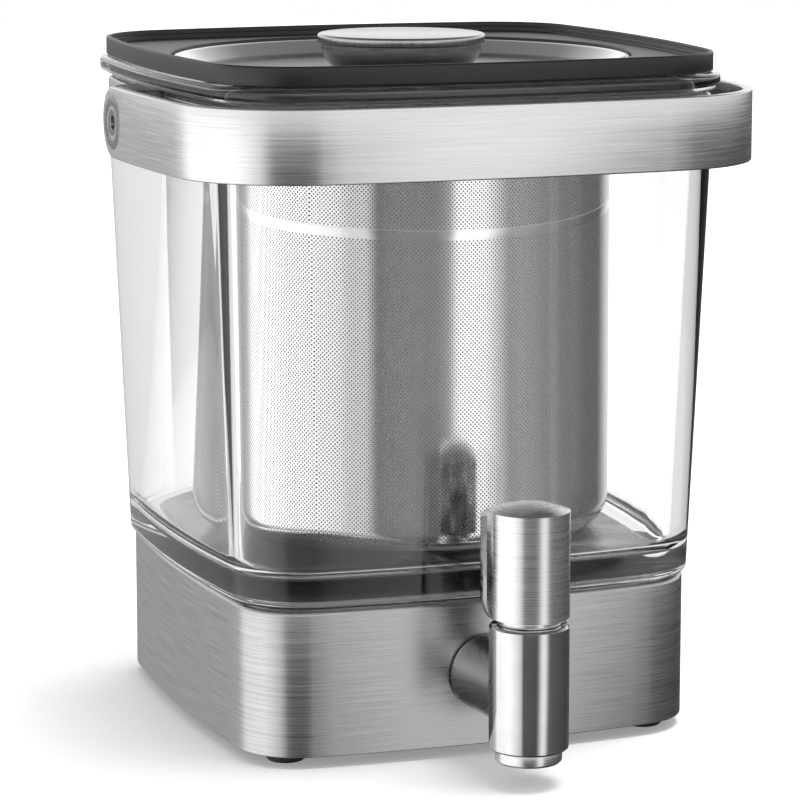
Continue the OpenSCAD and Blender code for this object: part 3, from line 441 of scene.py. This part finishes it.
# %% [markdown]
# ## Collar
# A light steel strap lies round the neck on a soft liner. It is open at the back, where two ears
# take a clamp screw. The strap is stacked as a whole ring, and a box is cut away for the gap.

# %% Collar
COLLAR_LOW, COLLAR_TOP = 173.85, 191.35
LINER, STRAP = 0.4, 0.8
GAP, GAP_Y = (5, 12, 30), 80
EAR, EAR_X, EAR_Y = (1.2, 7.5, 12), 3.1, 82.65
middle = (COLLAR_LOW + COLLAR_TOP) / 2
bm = bmesh.new()
stack(bm, [
    (NECK, -LINER, COLLAR_LOW, 0.2), (NECK, -LINER, COLLAR_TOP, 0.2),
    (NECK, -LINER - STRAP, COLLAR_TOP, 0.3), (NECK, -LINER - STRAP, COLLAR_LOW, 0.3)])
gap = bmesh.new()
add_box(gap, GAP, (0, GAP_Y, middle))
bm = cut_away(bm, gap)
for side in (-1, 1):
    corners = add_box(bm, EAR, (side * EAR_X, EAR_Y, middle))
    round_edges(bm, list({e for v in corners for e in v.link_edges}), 0.3, 2)
to_piece(bm, "neck_collar", ROOT)

# %% [markdown]
# ## The band handle
# The band is a flat strip, 2.8 by 21.2 mm, bent round the front of the jar. The ring is stacked
# first, then tangent planes round each pivot cut it away, which leaves the round ends of the arms.
# In each arm a short rod cuts the round seat that the pivot's disc lies in, and a thinner one the
# hole for its bush. The band's other edges are rounded last, so that the seats stay crisp.

# %% Band
BAND, BAND_THICK, BAND_H, PIVOT_Z = (182.2, 632, 36.6), 2.8, 21.2, 182.6
END_STEPS = 24
SEAT_R, SEAT_DEEP = 8.3, 1.2
BUSH_R, BUSH_DEEP = 4, 5
ROD = 6
low, high = PIVOT_Z - BAND_H / 2, PIVOT_Z + BAND_H / 2
bm = bmesh.new()
stack(bm, [
    (BAND, 0, low, 0), (BAND, 0, high, 0), (BAND, BAND_THICK, high, 0), (BAND, BAND_THICK, low, 0)])
pivot = Vector((0, 0, PIVOT_Z * MM))
for step in range(1, END_STEPS):
    tilt = math.pi * (step / END_STEPS - 0.5)
    away = Vector((0, math.cos(tilt), math.sin(tilt)))
    cut = bmesh.ops.bisect_plane(bm, geom=bm.verts[:] + bm.edges[:] + bm.faces[:], dist=1e-7,
                                 plane_co=pivot + away * BAND_H / 2 * MM, plane_no=away,
                                 clear_outer=True)
    edges = [g for g in cut["geom_cut"] if isinstance(g, bmesh.types.BMEdge)]
    bmesh.ops.holes_fill(bm, edges=edges, sides=0)
seats = bmesh.new()
for side in (-1, 1):
    for radius, deep in ((SEAT_R, SEAT_DEEP), (BUSH_R, BUSH_DEEP)):
        rod = bmesh.ops.create_cone(seats, cap_ends=True, segments=64, radius1=radius * MM,
                                    radius2=radius * MM, depth=ROD * MM)["verts"]
        bmesh.ops.rotate(seats, verts=rod, matrix=Matrix.Rotation(math.pi / 2, 3, "Y"))
        place = side * (BAND[0] / 2 - deep + ROD / 2)
        bmesh.ops.translate(seats, verts=rod, vec=(place * MM, 0, PIVOT_Z * MM))
bm = cut_away(bm, seats)
rim = (SEAT_R + 0.1) * MM
outer = [e for e in sharp_edges(bm, 40) if any((v.co - pivot).yz.length > rim for v in e.verts)]
round_edges(bm, outer, 0.5, 3)
to_piece(bm, "handle_band", "handle")

# %% [markdown]
# ## The jar lid
# The lid is moulded in black plastic: a plate with a raised, stepped edge, a round mouth with a
# ledge in it, and a skirt with a groove for the seal under it.

# %% Lid
LID, LID_LOW, PLATE, LID_TOP = (161.2, 443, 26), 198.3, 201.0, 204.0
EDGE, EDGE_STEP = 1.3, 1.4
MOUTH_R, LEDGE_R, LEDGE_OUT_R = 69.9, 67.6, 71.9
LEDGE_TOP, LEDGE_LOW = 196.6, 195.1
SKIRT_IN, SKIRT_OUT, SKIRT_LOW = 8.2, 6.2, 188.0
GROOVE_IN, GROOVE_LOW, GROOVE_TOP = 6.8, 190.5, 193.5
step_z = LID_TOP - EDGE_STEP
bm = bmesh.new()
stack(bm, [
    (LID, 0, LID_LOW, 0.5), (LID, 0, LID_TOP, 0.6), (LID, EDGE, LID_TOP, 0.4), (LID, EDGE, step_z, 0.2),
    (LID, 2 * EDGE, step_z, 0.3), (LID, 2 * EDGE, PLATE, 0.4), (MOUTH_R, 0, PLATE, 0.5),
    (MOUTH_R, 0, LEDGE_TOP, 0), (LEDGE_R, 0, LEDGE_TOP, 0.3), (LEDGE_R, 0, LEDGE_LOW, 0.3),
    (LEDGE_OUT_R, 0, LEDGE_LOW, 0.3), (LEDGE_OUT_R, 0, LID_LOW, 0), (MOUTH, SKIRT_IN, LID_LOW, 0),
    (MOUTH, SKIRT_IN, SKIRT_LOW, 0.4), (MOUTH, SKIRT_OUT, SKIRT_LOW, 0.4),
    (MOUTH, SKIRT_OUT, GROOVE_LOW, 0), (MOUTH, GROOVE_IN, GROOVE_LOW, 0),
    (MOUTH, GROOVE_IN, GROOVE_TOP, 0), (MOUTH, SKIRT_OUT, GROOVE_TOP, 0),
    (MOUTH, SKIRT_OUT, LID_LOW, 0)])
to_piece(bm, "jar_lid", "lid")

# %% [markdown]
# ## The steeper
# The steeper is thin sheet: a rolled perforated wall with a smooth ring at the fill line, a drawn
# bottom, and a mouth that widens into the rim on which it hangs.

# %% Steeper wall, bottom and rim
STEEPER_R, SHEET, STEEPER_STEPS = 63.1, 0.5, 192
BOTTOM_Z, JOIN_Z, FLARE_Z, BOTTOM_ROUND = 57.5, 66.0, 194.0, 7.5
RING_TOP, RING_H, RING_OUT = 153.5, 2.7, 0.1
CUFF_R, CUFF_LOW, CUFF_TOP = 64.1, 185.9, 194.2
RIM_IN_R, RIM_R, RIM_LOW, RIM_TOP = 67.0, 69.2, 196.9, 197.9
inner_r = STEEPER_R - SHEET
ring_low = RING_TOP - RING_H
bm = bmesh.new()
turn_round(bm, [
    (STEEPER_R, JOIN_Z, 0), (STEEPER_R, ring_low, 0), (STEEPER_R + RING_OUT, ring_low, 0.05),
    (STEEPER_R + RING_OUT, RING_TOP, 0.05), (STEEPER_R, RING_TOP, 0), (STEEPER_R, FLARE_Z, 0),
    (inner_r, FLARE_Z, 0), (inner_r, JOIN_Z, 0)], STEEPER_STEPS)
to_piece(bm, "steeper_wall", "steeper")

bm = bmesh.new()
turn_round(bm, [
    (0, BOTTOM_Z, 0), (STEEPER_R, BOTTOM_Z, BOTTOM_ROUND), (STEEPER_R, JOIN_Z, 0), (inner_r, JOIN_Z, 0),
    (inner_r, BOTTOM_Z + SHEET, BOTTOM_ROUND - SHEET), (0, BOTTOM_Z + SHEET, 0)],
    STEEPER_STEPS, closed=False)
to_piece(bm, "steeper_bottom", "steeper")

bm = bmesh.new()
turn_round(bm, [
    (STEEPER_R, CUFF_LOW, 0), (CUFF_R, CUFF_LOW, 0.3), (CUFF_R, CUFF_TOP, 0.4), (RIM_IN_R, RIM_LOW, 0.3),
    (RIM_R, RIM_LOW, 0.3), (RIM_R, RIM_TOP, 0.3), (RIM_IN_R - 0.1, RIM_TOP, 0.5), (inner_r, FLARE_Z, 0.4),
    (STEEPER_R, FLARE_Z, 0)], STEEPER_STEPS)
to_piece(bm, "steeper_rim", "steeper")

# %% [markdown]
# ## The steeper's lid and its knob
# The lid is a shallow dish with a sloping side that lies in the steeper's mouth. The knob is a
# bowl that widens upwards, drawn as a quarter of an ellipse, under a thick brushed cap.

# %% Dish and knob
DISH_FLOOR, DISH_TOP, DISH_UNDER, DISH_RIM_LOW = 195.5, 200.2, 194.7, 198.2
FLOOR_R, SLOPE_R, UNDER_R, DISH_STEPS = 62.6, 67.6, 62.9, 160
bm = bmesh.new()
turn_round(bm, [
    (0, DISH_FLOOR, 0), (FLOOR_R, DISH_FLOOR, 1.2), (SLOPE_R, DISH_TOP, 1.0), (RIM_R, DISH_TOP, 0.35),
    (RIM_R, DISH_RIM_LOW, 0.3), (RIM_IN_R, DISH_RIM_LOW, 0.4), (UNDER_R, DISH_UNDER, 0.4),
    (0, DISH_UNDER, 0)], DISH_STEPS, closed=False)
to_piece(bm, "steeper_lid", "inner_lid")

CUP_FOOT_R, CUP_TOP_R, CUP_STEPS = 16.5, 24.4, 10
CAP_R, CAP_LOW, CAP_TOP, KNOB_STEPS = 25.5, 204.0, 206.85, 128
bowl = []
for step in range(CUP_STEPS + 1):
    rise = math.pi / 2 * step / CUP_STEPS
    bowl.append((CUP_FOOT_R + (CUP_TOP_R - CUP_FOOT_R) * math.sin(rise),
                 CAP_LOW - (CAP_LOW - DISH_FLOOR) * math.cos(rise), 0))
bm = bmesh.new()
turn_round(bm, [(0, DISH_FLOOR, 0), *bowl, (0, CAP_LOW, 0)], KNOB_STEPS, closed=False)
to_piece(bm, "knob_cup", "inner_lid", sharp=50)

bm = bmesh.new()
turn_round(bm, [(0, CAP_LOW, 0), (CAP_R, CAP_LOW, 0.5), (CAP_R, CAP_TOP, 0.9), (0, CAP_TOP, 0)],
           KNOB_STEPS, closed=False)
to_piece(bm, "knob_cap", "inner_lid")

# %% [markdown]
# ## The tap and its lever
# The tap, its lever and the metal parts at the pivots have their real shape in CAD already. Their
# merged copies get round edges, which catch the light as thin lines. The lever's two parts stay
# as they are, because a bevel would dent the shallow dome on top.

# %% Tap and small metal parts
# Each row is a body, a material slot and a round in mm.
ROUNDED = {
    "tap_body": (ROOT, "polished_steel", 0.35), "nozzle_ring": (ROOT, "brushed_steel", 0.25),
    "tap_bonnet": (ROOT, "brushed_steel", 0.3), "tap_lever": ("lever", "dark_steel", 0),
    "lever_cover": ("lever", "brushed_steel", 0), "hinge_lugs": (ROOT, "lug_metal", 0.4),
    "pivot_discs": ("handle", "polished_steel", 0.2), "pivot_screws": (ROOT, "plain_steel", 0.2)}
for node, (body, slot, radius) in ROUNDED.items():
    to_piece(cad_copy(node, radius), node, body)

# %% [markdown]
# ## Materials
# Each material starts from what the real one is and how its surface was made. A grain is noise
# stretched to a real size in millimetres, and it varies the colour and the roughness.

# %% Helpers for materials
def new_material(name):
    """An empty node tree and a function that links a shader to its output."""
    material = bpy.data.materials.new(name)
    material.use_nodes = True
    tree = material.node_tree
    tree.nodes.clear()
    output = add_node(tree, "OutputMaterial")
    return material, tree, lambda shader: tree.links.new(shader.outputs[0], output.inputs["Surface"])


def grain(tree, size, detail=2.0):
    """Noise whose grains measure size mm along x, y and z."""
    place = add_node(tree, "TexCoord").outputs["Object"]
    scaled = add_node(tree, "Mapping", {"Vector": place, "Scale": [1 / (s * MM) for s in size]})
    noise = add_node(tree, "TexNoise", {"Vector": scaled.outputs[0], "Scale": 1.0, "Detail": detail})
    return noise.outputs["Fac"]


def spread(tree, value, low, high):
    """Maps a noise that lies around 0.5 to a range."""
    return add_node(tree, "MapRange", {"Value": value, "From Min": 0.3, "From Max": 0.7, "To Min": low,
                                       "To Max": high}).outputs[0]


def tint(tree, value, low, high):
    """Mixes two colours by a noise."""
    return mix(tree, spread(tree, value, 0, 1), colour(low), colour(high))


def give(material, *names):
    """Puts a material on pieces, or on CAD nodes that show as they are."""
    for name in names:
        piece = bpy.data.objects.get(name + ".dressed") or nodes[name]
        piece.data.materials.clear()
        piece.data.materials.append(material)
    print(material.name, "on", ", ".join(names))


# %% [markdown]
# Brushed stainless steel is drawn along a belt, which leaves fine parallel scratches. Along them
# the surface mirrors, across them it blurs. The streaks are much longer than wide. The upright
# walls are brushed round the object, and the base has a duller finish than the band. The knob's
# cap is flat, and brushed straight across, and the cup under it is duller.

# %% Brushed steel
ROUND, CUP_ROUND, ACROSS = (24, 24, 0.25), (10, 10, 0.4), (16, 0.4, 16)


def brushed_steel(name, dark, light, streak, rough, blur, relief=0.02):
    """Streaks are streak mm long and wide along x, y and z. The relief is in mm too."""
    material, tree, show = new_material(name)
    lines = grain(tree, streak, 3.0)
    bump = add_node(tree, "Bump", {"Height": lines, "Strength": 0.5, "Distance": relief * MM})
    tangent = add_node(tree, "Tangent", direction_type="RADIAL", axis="Z")
    show(add_node(tree, "BsdfPrincipled", {
        "Base Color": tint(tree, lines, dark, light), "Metallic": 1.0,
        "Roughness": spread(tree, lines, *rough), "Anisotropic": blur, "Anisotropic Rotation": 0.25,
        "Tangent": tangent.outputs[0], "Normal": bump.outputs[0]}))
    return material


give(brushed_steel("stainless_steel_satin_brushed", "#a2a2a3", "#c8c8c8", ROUND, (0.24, 0.34), 0.5),
     "base_shell")
give(brushed_steel("stainless_steel_brushed_round", "#cacacb", "#e8e8e8", ROUND, (0.22, 0.32), 0.5, 0.01),
     "handle_band", "lever_cover", "nozzle_ring", "tap_bonnet", "neck_collar")
give(brushed_steel("stainless_steel_brushed_across", "#aeaeaf", "#bababa", ACROSS, (0.16, 0.24), 0.0),
     "knob_cap")
give(brushed_steel("stainless_steel_dull", "#a0a0a1", "#b8b8b9", CUP_ROUND, (0.26, 0.36), 0.5),
     "knob_cup")

# %% [markdown]
# The dish was pressed from brushed sheet, and its sloping side is smoother. Its colour is painted
# light: the floor, deep between dark walls, is painted darker as shade, and the slope lighter as a
# painted highlight. The colour changes where the slope begins.

# %% Dish steel
SLOPE_LOW, SLOPE_PAINTED_HIGHLIGHT = 195.8, 196.6
dish_steel, tree, show = new_material("stainless_steel_pressed_painted_light")
lines = grain(tree, (30, 0.5, 30))
rise = add_node(tree, "SeparateXYZ", {0: add_node(tree, "TexCoord").outputs["Object"]}).outputs[2]
slope = add_node(tree, "MapRange", {"Value": rise, "From Min": SLOPE_LOW * MM,
                                    "From Max": SLOPE_PAINTED_HIGHLIGHT * MM}).outputs[0]
# Painted shade: the floor's dark colour. Painted highlight: the slope's near-white colour.
show(add_node(tree, "BsdfPrincipled", {
    "Base Color": mix(tree, slope, tint(tree, lines, "#747475", "#8c8c8d"), colour("#ececec")),
    "Metallic": 1.0, "Roughness": math_node(tree, "MULTIPLY_ADD", slope, -0.12, 0.28)}))
give(dish_steel, "steeper_lid")

# %% [markdown]
# The tap's body is polished until no scratch shows from a step away: nearly a mirror, with only a
# faint waviness. The lever's core is polished too, and darker. The discs and screws of the pivots
# are satin, the small turned parts inside lie between the two, and the lugs are painted castings.

# %% Polished, satin and turned metal
def smooth_metal(name, dark, light, rough):
    """A metal without streaks. Only a faint cloud, 6 mm wide, varies its colour and roughness."""
    material, tree, show = new_material(name)
    cloud = grain(tree, (6, 6, 6))
    show(add_node(tree, "BsdfPrincipled", {
        "Base Color": tint(tree, cloud, dark, light), "Metallic": 1.0,
        "Roughness": spread(tree, cloud, *rough)}))
    return material


give(smooth_metal("stainless_steel_polished", "#c4c4c5", "#cecece", (0.05, 0.09)), "tap_body")
give(smooth_metal("steel_polished_dark", "#8c8c8e", "#969698", (0.08, 0.12)), "tap_lever")
give(smooth_metal("stainless_steel_satin", "#8c8c8d", "#989899", (0.24, 0.32)), "pivot_discs",
     "pivot_screws")
give(smooth_metal("stainless_steel_turned", "#acacae", "#bababb", (0.18, 0.26)), "lever_pin",
     "valve_stem", "valve_spring", "tap_shank", "shank_nut", "drain_fitting", "drain_nut",
     "hose_clamps", "bottom_screws", "collar_screw", "collar_nut", "stop_pins", "knob_screw")
give(smooth_metal("zinc_casting_painted_grey", "#5a5b5d", "#66676a", (0.35, 0.45)), "hinge_lugs")

# %% [markdown]
# The steeper's wall is etched with thousands of holes 0.5 mm wide, 1.25 mm apart, in staggered
# rows. They are too small to model, so the material works out how far each point is from the
# nearest hole. Inside a hole it is a matte mid grey, the look of the shaded inside, which is
# darker than steel under a soft box and lighter than steel in a dark gap. The ring at the fill
# line and the lowest part of the bottom have no holes.

# %% Perforated steel
HOLE_PITCH, HOLE_WIDTH, HOLE_EDGE = 1.25, 0.5, 0.05
HOLES_FROM = 61.5


def perforated_steel(name, radius, pitch, hole):
    """Holes on a diamond grid, pitch mm apart round the wall and in every second row."""
    material, tree, show = new_material(name)
    axes = add_node(tree, "SeparateXYZ", {0: add_node(tree, "TexCoord").outputs["Object"]}).outputs
    count = round(2 * math.pi * radius / pitch)
    angle = math_node(tree, "ARCTAN2", axes[1], axes[0])
    column = math_node(tree, "MULTIPLY", angle, count / (2 * math.pi))
    row = math_node(tree, "DIVIDE", axes[2], pitch / 2 * MM)
    odd = math_node(tree, "MODULO", math_node(tree, "FLOOR", row), 2.0)
    column = math_node(tree, "MULTIPLY_ADD", odd, 0.5, column)
    across = math_node(tree, "SUBTRACT", math_node(tree, "FRACT", column), 0.5)
    up = math_node(tree, "SUBTRACT", math_node(tree, "FRACT", row), 0.5)
    up = math_node(tree, "MULTIPLY", up, 0.5)
    squares = [math_node(tree, "MULTIPLY", part, part) for part in (across, up)]
    away = math_node(tree, "SQRT", math_node(tree, "ADD", *squares))
    inside = add_node(tree, "MapRange", {"Value": away, "From Min": (hole / 2 + HOLE_EDGE) / pitch,
                                         "From Max": (hole / 2 - HOLE_EDGE) / pitch}).outputs[0]
    above = math_node(tree, "GREATER_THAN", axes[2], HOLES_FROM * MM)
    from_ring = math_node(tree, "SUBTRACT", axes[2], (RING_TOP - RING_H / 2) * MM)
    from_ring = math_node(tree, "ABSOLUTE", from_ring)
    off_ring = math_node(tree, "GREATER_THAN", from_ring, (RING_H / 2 + 0.1) * MM)
    inside = math_node(tree, "MULTIPLY", math_node(tree, "MULTIPLY", inside, above), off_ring)
    show(add_node(tree, "BsdfPrincipled", {
        "Base Color": mix(tree, inside, colour("#e6e6e6"), colour("#505050")),
        "Metallic": math_node(tree, "SUBTRACT", 1.0, inside),
        "Roughness": math_node(tree, "MULTIPLY_ADD", inside, 0.5, 0.1)}))
    return material


give(perforated_steel("stainless_steel_etched_mesh", STEEPER_R, HOLE_PITCH, HOLE_WIDTH),
     "steeper_wall", "steeper_bottom")
give(smooth_metal("stainless_steel_drawn", "#c4c4c4", "#d2d2d2", (0.2, 0.26)), "steeper_rim")

# %% [markdown]
# The lid is black ABS with a fine moulded texture: a soft shine without mirror images. The frame
# and cover under the base are polypropylene, the feet and the washer behind the tap are rubber,
# and the hose, liners and larger seals are clear silicone, which lets some light through.

# %% Plastic, rubber and silicone
def moulded(name, dark, light, rough, pores, relief, see_through=0.0):
    """A moulded material. Its pores and their relief are in mm."""
    material, tree, show = new_material(name)
    skin = grain(tree, (pores, pores, pores))
    bump = add_node(tree, "Bump", {"Height": skin, "Strength": 0.6, "Distance": relief * MM})
    show(add_node(tree, "BsdfPrincipled", {
        "Base Color": tint(tree, skin, dark, light), "Roughness": spread(tree, skin, *rough),
        "IOR": 1.53, "Transmission Weight": see_through, "Normal": bump.outputs[0]}))
    return material


give(moulded("abs_black_fine_texture", "#121314", "#191a1b", (0.33, 0.41), 0.3, 0.02), "jar_lid")
give(moulded("polypropylene_black", "#18191a", "#202122", (0.45, 0.55), 0.5, 0.03), "base_frame",
     "bottom_cover", "shank_washer")
give(moulded("rubber_black", "#121212", "#1a1a1a", (0.6, 0.75), 0.4, 0.03), "feet", "tap_washer",
     "stem_seal")
give(moulded("silicone_clear", "#e2e2e2", "#ececec", (0.3, 0.4), 2.0, 0.01, 0.7), "jar_seat",
     "drain_gaskets", "outlet_hose", "seat_cup", "collar_liner", "lid_seal")

# %% [markdown]
# The jar is clear soda-lime glass. Light for shadows passes straight through it, because a real
# glass jar doesn't darken what stands in it. A path that is caught between the two sides of the
# wall would be cut off after some bounces and leave the back corners grey. It would come out
# into the white studio in the end, so there its second mirror image is a painted reflection: the
# glass glows light grey at once. That holds only for the walls behind the middle, because the
# thick heel and the lip need their dark lines.

# %% Glass
BACK_FROM, WALL_FROM, WALL_TO = 15, 60, 172
glass, tree, show = new_material("soda_lime_glass")
path = add_node(tree, "LightPath").outputs
clear = add_node(tree, "BsdfPrincipled", {"Base Color": WHITE, "Roughness": 0.0, "IOR": 1.52,
                                          "Transmission Weight": 1.0})
# Painted reflection: a light grey glow for paths caught in the back walls.
caught = add_node(tree, "Emission", {"Color": colour("#f4f4f4"), "Strength": 1.0})
axes = add_node(tree, "SeparateXYZ", {0: add_node(tree, "TexCoord").outputs["Object"]}).outputs
held = math_node(tree, "GREATER_THAN", path["Glossy Depth"], TWO_MIRRORS)
for limit in (math_node(tree, "GREATER_THAN", axes[1], BACK_FROM * MM),
              math_node(tree, "GREATER_THAN", axes[2], WALL_FROM * MM),
              math_node(tree, "LESS_THAN", axes[2], WALL_TO * MM)):
    held = math_node(tree, "MULTIPLY", held, limit)
bright = add_node(tree, "MixShader", {0: held, 1: clear.outputs[0], 2: caught.outputs[0]})
straight = add_node(tree, "BsdfTransparent", {"Color": colour("#f8f8f8")})
show(add_node(tree, "MixShader", {0: path["Is Shadow Ray"], 1: bright.outputs[0],
                                  2: straight.outputs[0]}))
give(glass, "glass_jar")
